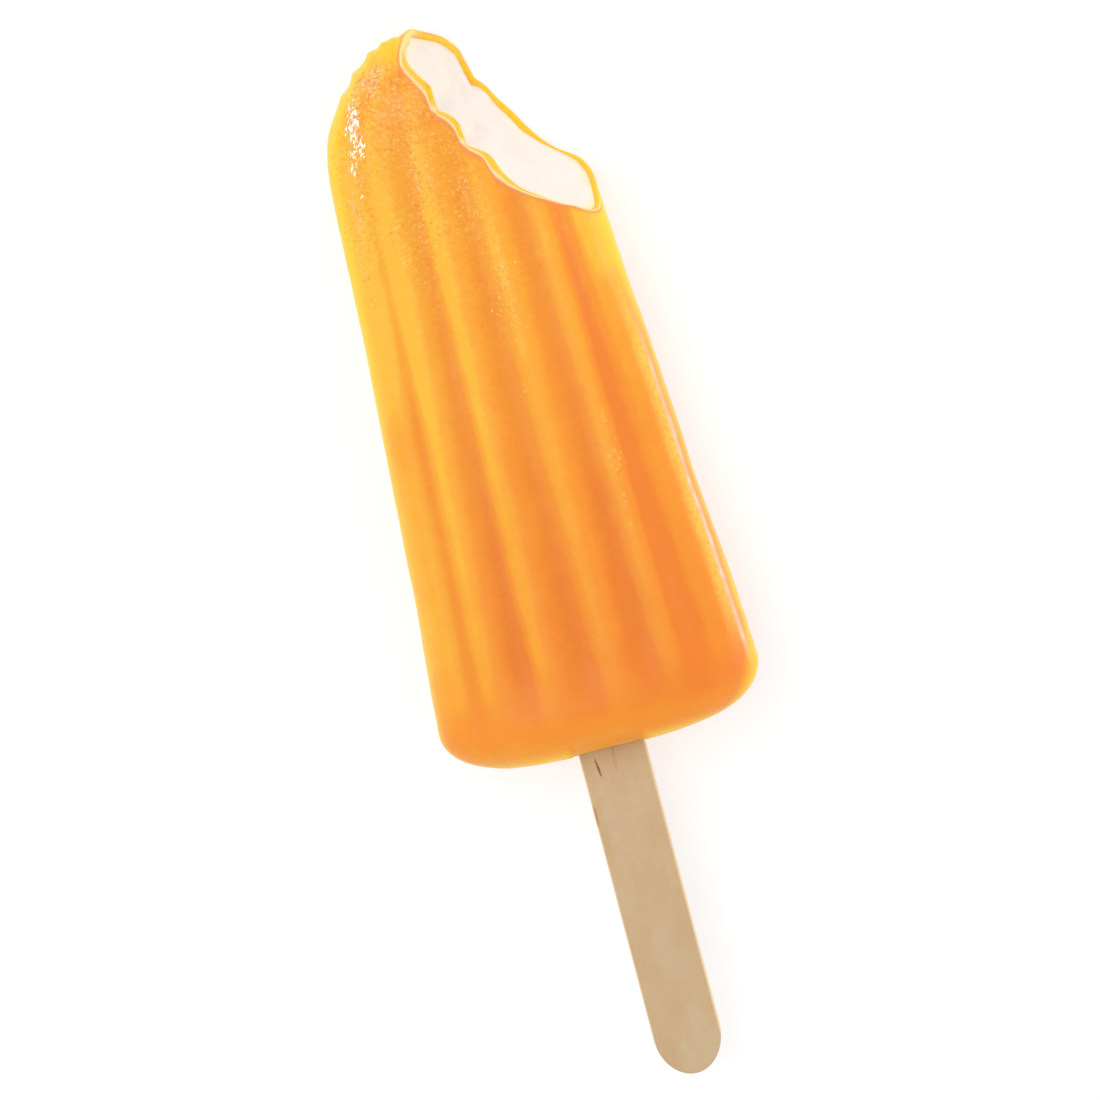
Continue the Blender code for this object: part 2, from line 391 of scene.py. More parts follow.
def make_piece(name, points, quads, triangles, marks, surface, node):
    """Piece from arrays: points in the lolly's axes, faces and named marks per point.

    The points are laid on the floor and held at or above it. The piece rides on the one body.
    """
    mesh = bpy.data.meshes.new(name)
    places = lay(points)
    places[:, 2] = np.maximum(places[:, 2], 0.0)
    mesh.vertices.add(len(places))
    mesh.vertices.foreach_set("co", places.ravel())
    corners = np.concatenate([quads.ravel(), triangles.ravel()])
    sizes = np.concatenate([np.full(len(quads), 4), np.full(len(triangles), 3)])
    mesh.loops.add(len(corners))
    mesh.loops.foreach_set("vertex_index", corners.astype(np.int32))
    mesh.polygons.add(len(sizes))
    starts = np.concatenate([[0], np.cumsum(sizes)[:-1]])
    mesh.polygons.foreach_set("loop_start", starts.astype(np.int32))
    for mark, values in marks.items():
        layer = mesh.attributes.new(mark, "FLOAT", "POINT")
        layer.data.foreach_set("value", np.asarray(values, np.float32).ravel())
    mesh.update(calc_edges=True)
    mesh.validate()
    mesh.shade_smooth()
    mesh.materials.append(surface)
    piece = bpy.data.objects.new(name, mesh)
    bpy.context.scene.collection.objects.link(piece)
    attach(piece, "root")
    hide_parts(node)
    return piece


# Shader helpers


def colour(red, green, blue):
    """Linear colour from the 0 to 255 values of a picture."""
    value = np.array([red, green, blue]) / 255.0
    linear = np.where(value <= 0.04045, value / 12.92, ((value + 0.055) / 1.055) ** 2.4)
    return (*linear.tolist(), 1.0)


class Shading:
    """Adds linked nodes to one tree. A value is a number, a colour or another node's output."""

    def __init__(self, tree):
        self.tree = tree

    def put(self, socket, value):
        if isinstance(value, bpy.types.NodeSocket):
            self.tree.links.new(value, socket)
        elif value is not None:
            socket.default_value = value

    def node(self, kind, inputs=(), **settings):
        made = self.tree.nodes.new(kind)
        for name, value in settings.items():
            setattr(made, name, value)
        for name, value in dict(inputs).items():
            self.put(made.inputs[name], value)
        return made

    def calc(self, operation, a, b=None, c=None):
        made = self.node("ShaderNodeMath", operation=operation)
        for socket, value in zip(made.inputs, (a, b, c)):
            self.put(socket, value)
        return made.outputs[0]

    def mix(self, share, a, b, blend="MIX"):
        made = self.node("ShaderNodeMix", data_type="RGBA", blend_type=blend)
        for socket, value in zip((made.inputs[0], made.inputs[6], made.inputs[7]), (share, a, b)):
            self.put(socket, value)
        return made.outputs[2]

    def spread(self, value, low, high, to_low=0.0, to_high=1.0):
        """Maps low..high onto to_low..to_high, smoothly and held at the ends."""
        made = self.node("ShaderNodeMapRange", interpolation_type="SMOOTHSTEP")
        for socket, given in zip(made.inputs, (value, low, high, to_low, to_high)):
            self.put(socket, given)
        return made.outputs[0]

    def mark(self, name):
        return self.node("ShaderNodeAttribute", attribute_name=name).outputs["Fac"]

    def place(self, scale=(1, 1, 1)):
        """Object coordinates in millimetres, stretched by scale."""
        where = self.node("ShaderNodeTexCoord").outputs["Object"]
        sizes = [s / MM for s in scale]
        return self.node("ShaderNodeMapping", {"Vector": where, "Scale": sizes}).outputs[0]

    def noise(self, where, size, detail=2.0, rough=0.5, twist=0.0):
        inputs = {"Vector": where, "Scale": 1.0 / size, "Detail": detail, "Roughness": rough}
        inputs["Distortion"] = twist
        return self.node("ShaderNodeTexNoise", inputs).outputs["Fac"]

    def use(self, group, where, **numbers):
        """Outputs of a shared group placed here with its own numbers."""
        inputs = {"Place": where, **numbers}
        return self.node("ShaderNodeGroup", inputs, node_tree=group).outputs

    def gradient(self, value, stops):
        made = self.node("ShaderNodeValToRGB", {"Fac": value})
        made.color_ramp.interpolation = "EASE"
        while len(made.color_ramp.elements) < len(stops):
            made.color_ramp.elements.new(0.5)
        for element, (at, shade) in zip(made.color_ramp.elements, stops):
            element.position = at
            element.color = shade
        return made.outputs["Color"]

    def bump(self, height, depth_mm, normal=None):
        inputs = {"Height": height, "Distance": depth_mm * MM, "Strength": 1.0, "Normal": normal}
        return self.node("ShaderNodeBump", inputs).outputs["Normal"]


def new_surface(name):
    """Material with its Principled shader, and the helper that fills its tree."""
    made = bpy.data.materials.new(name)
    made.use_nodes = True
    shader = made.node_tree.nodes["Principled BSDF"]
    return made, shader, Shading(made.node_tree)


# Effects that more than one finish uses


def new_group(name, numbers, results):
    """Node group that takes a place and named numbers, with the helper that fills it."""
    tree = bpy.data.node_groups.new(name, "ShaderNodeTree")
    tree.interface.new_socket("Place", in_out="INPUT", socket_type="NodeSocketVector")
    for label, usual in numbers.items():
        socket = tree.interface.new_socket(label, in_out="INPUT", socket_type="NodeSocketFloat")
        socket.default_value = usual
    for label in results:
        tree.interface.new_socket(label, in_out="OUTPUT", socket_type="NodeSocketFloat")
    s = Shading(tree)
    return tree, s, s.node("NodeGroupInput").outputs, s.node("NodeGroupOutput").inputs


def cloud_group():
    """Soft clouds of a size in millimetres, from 0 to 1 between two levels of the noise."""
    numbers = {"Size": 1.0, "Detail": 3.0, "Low": 0.35, "High": 0.65}
    tree, s, given, result = new_group("clouds", numbers, ["Cloud"])
    scale = s.calc("DIVIDE", 1.0, given["Size"])
    inputs = {"Vector": given["Place"], "Scale": scale, "Detail": given["Detail"]}
    noise = s.node("ShaderNodeTexNoise", inputs).outputs["Fac"]
    s.put(result["Cloud"], s.spread(noise, given["Low"], given["High"]))
    return tree


def crystal_group():
    """Frost crystals: cells of a size in millimetres, some light, some dark, more by Amount."""
    numbers = {"Size": 0.4, "Amount": 0.5}
    tree, s, given, result = new_group("frost_crystals", numbers, ["Light", "Dark", "Height"])
    inputs = {"Vector": given["Place"], "Scale": s.calc("DIVIDE", 1.0, given["Size"])}
    cells = s.node("ShaderNodeTexVoronoi", inputs).outputs
    pick = s.node("ShaderNodeSeparateColor", {"Color": cells["Color"]}).outputs
    most_light = s.calc("MULTIPLY_ADD", given["Amount"], -0.6, 1.0)
    most_dark = s.calc("MULTIPLY", given["Amount"], 0.35)
    s.put(result["Light"], s.spread(s.calc("SUBTRACT", pick[0], most_light), 0.0, 0.06))
    s.put(result["Dark"], s.spread(s.calc("SUBTRACT", most_dark, pick[0]), 0.0, 0.06))
    peak = s.calc("SUBTRACT", s.calc("ADD", pick[1], 0.5), cells["Distance"])
    s.put(result["Height"], s.calc("MULTIPLY", peak, given["Amount"]))
    return tree


CLOUDS = cloud_group()
CRYSTALS = crystal_group()


# Finishes


def orange_ice():
    """Half-clear fruit ice: deeper in the flutes and low on the right, with part of the flutes'
    shading painted in, and yellow where it is thin, a painted glow of light through the ice.

    Rough skin and frost add fine and coarse crystals, light and dark; the coarse white ones are
    frost with painted glints. The bite's lip is coral with painted shade in its crease, then
    pale, a painted highlight, then bright, a painted glow, from outside to inside. The right
    edge has a painted highlight line and a frosty band with painted sheen. Thin ice and the lip
    glow faintly: painted light.
    """
    made, shader, s = new_surface("orange_ice")
    where = s.place()
    frost = s.mark("frost")
    grainy = s.mark("grainy")
    cloud = s.use(CLOUDS, where, Size=5.0, Low=0.3, High=0.7)["Cloud"]
    fibre = s.noise(s.place((0.75, 1.1, 1.0)), 0.7, 3.0, 0.65, 0.6)
    tone_and_shade = s.calc("MULTIPLY_ADD", s.calc("SUBTRACT", cloud, 0.5), 0.08, s.mark("tone_and_shade"))
    contrast = s.spread(grainy, 0.0, 1.0, 0.12, 0.9)
    tone_and_shade = s.calc("MULTIPLY_ADD", s.calc("SUBTRACT", fibre, 0.5), contrast, tone_and_shade)
    base = s.gradient(tone_and_shade, [
        (0.0, colour(236, 129, 34)), (0.33, colour(244, 147, 40)),
        (0.66, colour(249, 166, 45)), (1.0, colour(252, 188, 56)),
    ])
    # Painted glow of light through thin ice: yellow along the sides, the tip and the base's edge
    base = s.mix(s.mark("rim_glow"), base, colour(252, 204, 4))
    # Right edge: a frosty band with painted sheen, then a painted highlight line
    ragged = s.use(CLOUDS, s.place((1.0, 0.7, 1.0)), Size=0.45, Low=0.25, High=0.75)["Cloud"]
    torn = s.calc("MULTIPLY", s.mark("frost_and_sheen_band"), s.spread(ragged, 0.0, 1.0, 0.35, 0.85))
    base = s.mix(torn, base, colour(252, 206, 64))
    base = s.mix(s.mark("highlight_line"), base, colour(254, 232, 206))
    speckled = s.calc("MAXIMUM", frost, s.spread(grainy, 0.3, 1.0, 0.0, 0.46))
    fine = s.use(CRYSTALS, where, Size=0.3, Amount=s.spread(speckled, 0.1, 1.0))
    coarse = s.use(CRYSTALS, where, Size=0.36, Amount=s.spread(frost, 0.5, 1.4))
    base = s.mix(s.calc("MULTIPLY", fine["Light"], 0.5), base, colour(255, 204, 104))
    base = s.mix(s.calc("MULTIPLY", fine["Dark"], 0.45), base, colour(240, 124, 34))
    # Coarse white crystals: frost, partly painted glints
    frost_and_glints = s.calc("MULTIPLY", coarse["Light"], s.spread(frost, 0.3, 1.1, 0.15, 0.6))
    base = s.mix(frost_and_glints, base, colour(255, 234, 200))
    base = s.mix(s.calc("MULTIPLY", coarse["Dark"], 0.5), base, colour(240, 116, 34))
    # Lip, outside in: coral with painted crease shade, pale painted highlight, painted yellow glow
    base = s.mix(s.mark("coral_and_crease_shade"), base, colour(240, 142, 84))
    base = s.mix(s.mark("pale_and_highlight"), base, colour(254, 224, 164))
    base = s.mix(s.mark("bright"), base, colour(252, 190, 34))
    s.put(shader.inputs["Base Color"], base)
    # Faint glow of thin ice and the lip: painted light
    glow = s.calc("MAXIMUM", s.mark("rim_glow"), s.mark("bright"))
    s.put(shader.inputs["Emission Color"], s.mix(glow, colour(0, 0, 0), colour(255, 180, 0)))
    shader.inputs["Emission Strength"].default_value = 0.08
    shader.inputs["Subsurface Weight"].default_value = 0.3
    shader.inputs["Subsurface Radius"].default_value = (1.0, 0.45, 0.12)
    shader.inputs["Subsurface Scale"].default_value = 0.003
    shader.inputs["Specular IOR Level"].default_value = 0.3
    s.put(shader.inputs["Roughness"], s.spread(frost, 0.0, 1.0, 0.46, 0.3))
    s.put(shader.inputs["Coat Weight"], s.spread(frost, 0.0, 0.8, 0.08, 0.4))
    shader.inputs["Coat Roughness"].default_value = 0.2
    soft = s.bump(s.noise(where, 1.6, 3.0, 0.6), 0.08)
    grit = s.calc("MULTIPLY", fibre, s.spread(grainy, 0.0, 1.0, 0.1, 1.0))
    soft = s.bump(grit, 0.1, soft)
    sharp = s.calc("ADD", s.calc("MULTIPLY", fine["Height"], 0.5), coarse["Height"])
    s.put(shader.inputs["Normal"], s.bump(sharp, 0.1, soft))
    return made


def ice_cream():
    """Smooth white ice cream with faint pink clouds and flecks, whiter towards the right.

    Along the coat it is stained by it, and glows faintly there: painted light that lifts the
    shade in the crease between cream and coat.
    """
    made, shader, s = new_surface("ice_cream")
    where = s.place()
    pink = s.use(CLOUDS, where, Size=6.0, Detail=2.0)["Cloud"]
    fleck = s.use(CLOUDS, where, Size=1.2, Low=0.58, High=0.8)["Cloud"]
    base = s.mix(pink, colour(243, 232, 220), colour(243, 227, 215))
    base = s.mix(s.calc("MULTIPLY", fleck, 0.3), base, colour(240, 220, 206))
    base = s.mix(s.mark("milky"), base, colour(250, 244, 234))
    base = s.mix(s.calc("MULTIPLY", s.mark("near_coat"), 0.6), base, colour(252, 218, 150))
    s.put(shader.inputs["Base Color"], base)
    # Faint glow along the coat: painted light that lifts the shade in the crease
    s.put(shader.inputs["Emission Color"], s.mix(s.mark("near_coat"), colour(0, 0, 0), base))
    shader.inputs["Emission Strength"].default_value = 0.12
    shader.inputs["Subsurface Weight"].default_value = 0.4
    shader.inputs["Subsurface Radius"].default_value = (1.0, 0.8, 0.6)
    shader.inputs["Subsurface Scale"].default_value = 0.002
    shader.inputs["Roughness"].default_value = 0.42
    shader.inputs["Specular IOR Level"].default_value = 0.3
    soft = s.bump(s.noise(where, 0.9, 4.0, 0.6), 0.1)
    ice = s.use(CRYSTALS, where, Size=0.5, Amount=0.4)["Height"]
    s.put(shader.inputs["Normal"], s.bump(ice, 0.02, soft))
    return made


def white_frost():
    """White ice crystals, some of them tinted pink or orange by the ice below. They glow
    faintly, a painted sparkle.
    """
    made, shader, s = new_surface("white_frost")
    base = s.gradient(s.mark("pink"), [
        (0.0, colour(255, 252, 244)), (0.35, colour(255, 242, 214)),
        (0.7, colour(252, 214, 184)), (1.0, colour(255, 210, 130)),
    ])
    mist = s.use(CLOUDS, s.place(), Size=0.3)["Cloud"]
    base = s.mix(s.calc("MULTIPLY", mist, 0.2), base, colour(253, 236, 210))
    s.put(shader.inputs["Base Color"], base)
    # Faint glow: a painted sparkle
    s.put(shader.inputs["Emission Color"], base)
    shader.inputs["Emission Strength"].default_value = 0.2
    s.put(shader.inputs["Roughness"], s.spread(mist, 0.0, 1.0, 0.15, 0.35))
    s.put(shader.inputs["Normal"], s.bump(mist, 0.03))
    return made


# Brown flecks on the stick's front: across, below the ice, half width, half length, lean, strength
# and colour
FLECKS = [
    (-2.65, 2.7, 0.2, 1.5, 0.12, 0.95, (150, 84, 40)),
    (0.05, 0.9, 0.12, 1.0, 0.0, 0.5, (150, 100, 66)),
    (-0.1, 2.6, 0.3, 1.2, 0.0, 0.25, (170, 124, 84)),
    (-4.75, 9.6, 0.25, 1.7, 0.0, 0.7, (190, 118, 52)),
]


def stick_wood():
    """Pale sanded wood with fine grain along the stick, soft clouds and a few brown flecks.

    A fleck is an ellipse: its share falls as (aside/half_width)^2 + (along/half_length)^2 grows.
    """
    made, shader, s = new_surface("stick_wood")
    where = s.place()
    along = s.place((1.0, 0.03, 1.0))
    grain = s.noise(along, 0.35, 4.0, 0.65)
    streak = s.noise(along, 1.3, 3.0, 0.55, 0.6)
    cloud = s.use(CLOUDS, s.place((1.0, 0.5, 1.0)), Size=4.5, Low=0.3, High=0.7)["Cloud"]
    spot = s.use(CLOUDS, s.place((1.0, 0.8, 1.0)), Size=1.2, Low=0.45, High=0.75)["Cloud"]
    base = s.mix(cloud, colour(202, 175, 137), colour(198, 165, 122))
    base = s.mix(s.calc("MULTIPLY", spot, 0.3), base, colour(192, 160, 120))
    base = s.mix(s.spread(streak, 0.45, 0.75, 0.0, 0.16), base, colour(196, 160, 118))
    base = s.mix(s.spread(grain, 0.5, 0.75, 0.0, 0.12), base, colour(186, 148, 108))
    # Lighter edges: a painted highlight where the rounded edge catches the light
    base = s.mix(s.mark("edge_highlight"), base, colour(240, 212, 170))
    pores = s.spread(s.noise(s.place((1.0, 0.1, 1.0)), 0.16, 2.0), 0.68, 0.8, 0.0, 0.3)
    base = s.mix(pores, base, colour(164, 124, 84))
    wander = s.calc("MULTIPLY", s.calc("SUBTRACT", s.noise(where, 0.6, 3.0), 0.5), 0.5)
    x, y, _ = s.node("ShaderNodeSeparateXYZ", {"Vector": where}).outputs
    for across, below, half_width, half_length, lean, strength, shade in FLECKS:
        lengthways = s.calc("ADD", y, below + MIDDLE)
        aside = s.calc("ADD", s.calc("MULTIPLY_ADD", lengthways, lean, x), wander)
        aside = s.calc("DIVIDE", s.calc("SUBTRACT", aside, across), half_width)
        lengthways = s.calc("DIVIDE", lengthways, half_length)
        apart = s.calc("ADD", s.calc("POWER", aside, 2.0), s.calc("POWER", lengthways, 2.0))
        share = s.spread(apart, 1.4, 0.3, 0.0, strength)
        base = s.mix(share, base, colour(*shade))
    s.put(shader.inputs["Base Color"], base)
    s.put(shader.inputs["Roughness"], s.spread(grain, 0.3, 0.8, 0.62, 0.75))
    height = s.calc("ADD", s.calc("MULTIPLY", grain, 0.7), s.calc("MULTIPLY", streak, 0.5))
    s.put(shader.inputs["Normal"], s.bump(height, 0.05))
    return made


def pale_floor():
    """Matt floor that its own faint light and soft grey clouds bring to a plain white."""
    made, shader, s = new_surface("pale_floor")
    shader.inputs["Emission Color"].default_value = (1.0, 1.0, 1.0, 1.0)
    shader.inputs["Emission Strength"].default_value = 0.65
    cloud = s.use(CLOUDS, s.place(), Size=60.0)["Cloud"]
    base = s.mix(cloud, colour(170, 170, 170), colour(165, 165, 165))
    s.put(shader.inputs["Base Color"], base)
    shader.inputs["Roughness"].default_value = 0.7
    return made


# Marks that the finishes read

# Frosty patches on the front: across, along, half width, half length and strength. Loose grains
# lie on the first GRAIN_PATCHES of them, and long shards on the first SHARD_PATCHES
GRAIN_PATCHES = 11
SHARD_PATCHES = 3
FROST = [
    (-12.3, 101.2, 0.8, 2.2, 0.9), (-13.0, 97.0, 1.0, 3.0, 1.1), (-14.0, 92.6, 0.9, 2.8, 0.8),
    (-15.6, 86.0, 0.9, 5.0, 0.6), (-16.8, 77.0, 0.9, 6.0, 0.4), (-5.5, 88.5, 1.4, 6.0, 0.6),
    (-7.0, 101.0, 4.5, 5.0, 0.28), (-9.0, 104.5, 3.0, 2.2, 0.9), (0.8, 86.0, 1.0, 3.0, 0.5),
    (1.3, 80.5, 1.3, 3.5, 0.4), (2.4, 71.0, 1.7, 6.0, 0.5), (1.6, 54.0, 1.3, 9.0, 0.4),
    (11.6, 52.0, 1.2, 4.0, 0.3), (12.0, 43.0, 1.5, 6.0, 0.5), (11.6, 34.0, 1.1, 5.0, 0.3),
    (-7.4, 58.0, 1.2, 6.0, 0.4), (-14.2, 40.0, 1.2, 8.0, 0.25), (2.6, 17.0, 1.3, 3.0, 0.35),
    (6.5, 20.0, 1.0, 2.5, 0.25),
]

# Light and dark stripes of the flutes halfway up, as shares of the half width and tones. Part
# of their light and dark is the flutes' shading from the light on the left, painted in
STRIPES = [
    (-1.0, 0.85), (-0.93, 0.76), (-0.87, 0.71), (-0.8, 0.69), (-0.72, 0.28), (-0.62, 0.76),
    (-0.53, 0.42), (-0.44, 0.17), (-0.36, 0.02), (-0.28, 0.66), (-0.17, 0.29), (-0.07, 0.12),
    (0.03, 0.09), (0.13, 0.52), (0.22, 0.32), (0.31, 0.06), (0.4, 0.03), (0.5, 0.47),
    (0.57, 0.27), (0.63, -0.2), (0.72, 0.03), (0.8, 0.33), (0.87, 0.3), (1.0, 0.35),
]


def tone_and_shade_of(points, share):
    """Depth of the orange with painted shade: 0 deep, 1 light. Lighter on crests, to the left
    and towards the tip.

    The stripes fade in above the base and half out near the tip; part of their light and dark
    is the flutes' shading, painted. The far left is lighter low down and deeper halfway up,
    and the far right turns light near the tip. The lowest part of the base is lighter: painted
    light where it rounds away from the lamp.
    """
    h = points[..., 1]
    plain = 0.24 - 0.16 * share
    stripes = ramp(h, 3.0, 18.0) * (1.0 - 0.6 * ramp(h, 72.0, 96.0))
    tone_and_shade = plain + (through(STRIPES, share) - plain) * stripes
    climb = 0.0083 * (np.clip(h, 15.0, 75.0) - 25.0) * (1.0 - 0.3 * share)
    left = ramp(-share, 0.55, 0.8) * (0.13 * bell(h, 20.0, 9.0) - 0.26 * bell(h, 51.0, 8.0))
    right = 0.9 * ramp(share, 0.72, 0.86) * ramp(h, 62.0, 80.0)
    tone_and_shade = tone_and_shade + climb + left + right
    # The lowest part of the base is lighter: painted light where it rounds away from the lamp
    return tone_and_shade + 0.32 * ramp(h, 8.0, 2.0) - 0.2 * ramp(h, 90.0, 104.0)


def rim_glow_of(points, share):
    """Painted glow of light through thin ice, in yellow: along both sides, over the tip's left and
    round the base's lower edge.

    A side's yellow starts at a share of the half width that falls towards the tip, and on the
    right at the base too. Behind the side it is weaker. The base has none beside the stick.
    """
    x, h, z = np.moveaxis(points, -1, 0)
    start_left = 0.94 - 0.08 * ramp(h, 30.0, 100.0)
    start_right = 0.975 - 0.1 * ramp(h, 55.0, 80.0) - 0.1 * ramp(h, 13.0, 5.0)
    start = np.where(share < 0.0, start_left, start_right)
    sides = ramp(np.abs(share), start, np.where(share < 0.0, start + 0.09, 1.0))
    sides = sides * (0.45 + 0.55 * ramp(z, -2.5, 0.5))
    right = 0.8 - 0.25 * ramp(h, 14.0, 30.0) + 0.4 * ramp(h, 50.0, 75.0)
    sides = sides * np.where(share < 0.0, 0.95, right)
    tip = 0.85 * ramp(h, 103.5, 108.5) * ramp(-share, 0.0, 0.5)
    beside = ramp(np.abs(x), STICK_HALF_WIDTH - 0.2, STICK_HALF_WIDTH + 1.2)
    base = 0.85 * (1.0 - ramp(h, 0.2, 2.8)) * beside * ramp(z, -3.0, 1.0)
    return np.clip(np.maximum(np.maximum(sides, tip), base), 0.0, 1.0)


def frost_of(points):
    """Frosty crystals: the patches, broken up by lumps, and a light frost that grows to the tip.

    A patch is a bell across times a bell along. The back has loose frost beside its middle.
    """
    x, h, z = np.moveaxis(points, -1, 0)
    total = 0.03 + 0.1 * ramp(h, 60.0, 104.0)
    for across, along, half_width, half_length, strength in FROST:
        patch = strength * bell(x, across, half_width) * bell(h, along, half_length)
        total = total + patch * ramp(z, 0.0, 4.0)
    back = 0.5 * bell(np.abs(x), 4.0, 2.0) * ramp(lumps(points, 9.0, 5), 0.1, 0.6)
    total = total + back * ramp(-z, 0.0, 4.0)
    return np.clip(total * (0.75 + 0.55 * lumps(points, 1.1, 3)), 0.0, 1.4)


def shine_of(points, share):
    """Right edge: a painted highlight line just inside the side, and a ragged light band inside
    that, frost with painted sheen.
    """
    h, z = points[..., 1], points[..., 2]
    length = ramp(h, 6.0, 13.0) * ramp(h, 68.0, 44.0) * ramp(z, 0.0, 1.0)
    line = bell(share, 0.964, 0.012) * length * (0.6 + 0.3 * lumps(points, 1.2, 8))
    wander = 0.012 * lumps(points, 3.0, 9)
    band = ramp(share + wander, 0.87, 0.94) * ramp(share, 0.962, 0.945) * ramp(h, 76.0, 56.0)
    band = band * ramp(h, 8.0, 20.0) * ramp(z, 0.0, 1.0)
    return np.clip(line, 0.0, 0.9), np.clip(band, 0.0, 1.0)


def grainy_of(points, share):
    """Rough, wrinkled skin: strong over the upper left, weak low down and on the right."""
    h = points[..., 1]
    high = ramp(h, 50.0, 98.0) * (1.0 - 0.7 * ramp(share, -0.1, 0.6))
    return np.clip(0.12 + 0.75 * high + 0.3 * lumps(points, 7.0, 6), 0.05, 1.0)


# Pieces

# Melted lumps along the tip's upper left edge: across, along, size and height
EDGE_LUMPS = [
    (-13.9, 102.2, 1.3, 0.4), (-11.3, 105.2, 1.4, 1.0), (-8.5, 107.2, 1.1, 1.1),
    (-6.2, 108.2, 0.9, 0.8), (-4.7, 108.5, 0.6, 0.4),
]


def over_stick(points):
    """Where the ice's front lower edge draws back over the stick: 1 there, 0 elsewhere."""
    x, h, z = np.moveaxis(points, -1, 0)
    above = ramp(np.abs(x), STICK_HALF_WIDTH + 0.9, STICK_HALF_WIDTH - 0.2)
    return above * ramp(z, 0.8, 2.2) * ramp(h, 4.0, 1.5)


def coat_relief(points, from_edge):
    """Height of the ice's own relief, in millimetres.

    Soft lumps, more at the tip, melted lumps on its left edge, a bead along the bite, a collar
    that dies away from the stick, and the step over it.
    """
    x, h, z = np.moveaxis(points, -1, 0)
    relief = 0.10 * lumps(points * (1.0, 0.6, 1.0), 4.5, 11) + 0.04 * lumps(points, 1.5, 12)
    relief = relief + 0.12 * ramp(h, 80.0, 104.0) * lumps(points, 2.1, 13)
    for across, along, size, height in EDGE_LUMPS:
        lump = height * bell(np.hypot(x - across, h - along), 0.0, size)
        relief = relief + lump * bell(z, 1.5, 5.5)
    relief = relief + 0.06 * bell(from_edge, 0.0, 0.4) * ramp(z, -2.0, 3.0)
    beside = np.hypot(np.maximum(np.abs(x) - STICK_HALF_WIDTH, 0.0),
                      np.maximum(np.abs(z) - STICK_HALF_THICKNESS, 0.0))
    collar = 0.3 * np.exp(-beside / 0.8) * ramp(h, 3.0, 1.0)
    return relief + collar - 0.4 * over_stick(points)


def coat_marks(points, share, below, within):
    """Marks of the coat per point.

    below is the distance under the bitten edge, and within the place across the lip, from 0 at
    the outside to 1 at the cream. The rear of the lip is bright with one coral blush, and its
    upper left corner is pale. The coral line outside the front lip is painted shade in its
    crease, the pale band on the lip a painted highlight, and the bright yellow at its inside and
    all along the rear partly a painted glow of light through the thin ice.
    """
    front = ramp(points[..., 2], -1.0, 3.0)
    on_lip = (below < 0.001) * 1.0
    p, _ = bite_frame(points)
    corner = bell(p, -12.6, 1.2) * ramp(within, 0.05, 0.25)
    blush = (1.0 - front) * bell(p, -9.9, 1.3) * (1.0 + 0.3 * lumps(points, 0.8, 14))
    seam = 0.4 * over_stick(points) * ramp(points[..., 1], 0.7, 0.2)
    # Coral line outside the front lip: painted shade in its crease
    coral_and_crease_shade = 0.85 * front * ramp(below, 0.75, 0.0) ** 1.3 * ramp(within, 0.22, 0.06)
    coral_and_crease_shade = coral_and_crease_shade * (0.85 + 0.25 * lumps(points, 1.6, 15))
    # Pale band on the lip: a painted highlight
    pale_and_highlight = (0.2 + 0.7 * front) * ramp(within, 0.08, 0.18) * ramp(within, 0.48, 0.34)
    # Bright yellow along the rear lip: a painted glow of light through the thin ice
    rear_lip_glow = 0.75 * (1.0 - front) * (1.0 - 0.8 * blush)
    # Right edge: a painted highlight line, and a frosty band with painted sheen
    line, band = shine_of(points, share)
    return {
        "tone_and_shade": tone_and_shade_of(points, share),
        "rim_glow": rim_glow_of(points, share),
        "frost": frost_of(points) * ramp(below, 0.3, 1.2),
        "grainy": grainy_of(points, share),
        "highlight_line": line,
        "frost_and_sheen_band": band,
        "coral_and_crease_shade": np.maximum(coral_and_crease_shade, 0.6 * on_lip * blush),
        "pale_and_highlight": np.maximum(on_lip * np.maximum(pale_and_highlight, 0.7 * corner), seam),
        "bright": on_lip * (1.0 - corner) * np.maximum(ramp(within, 0.34, 0.48), rear_lip_glow),
    }


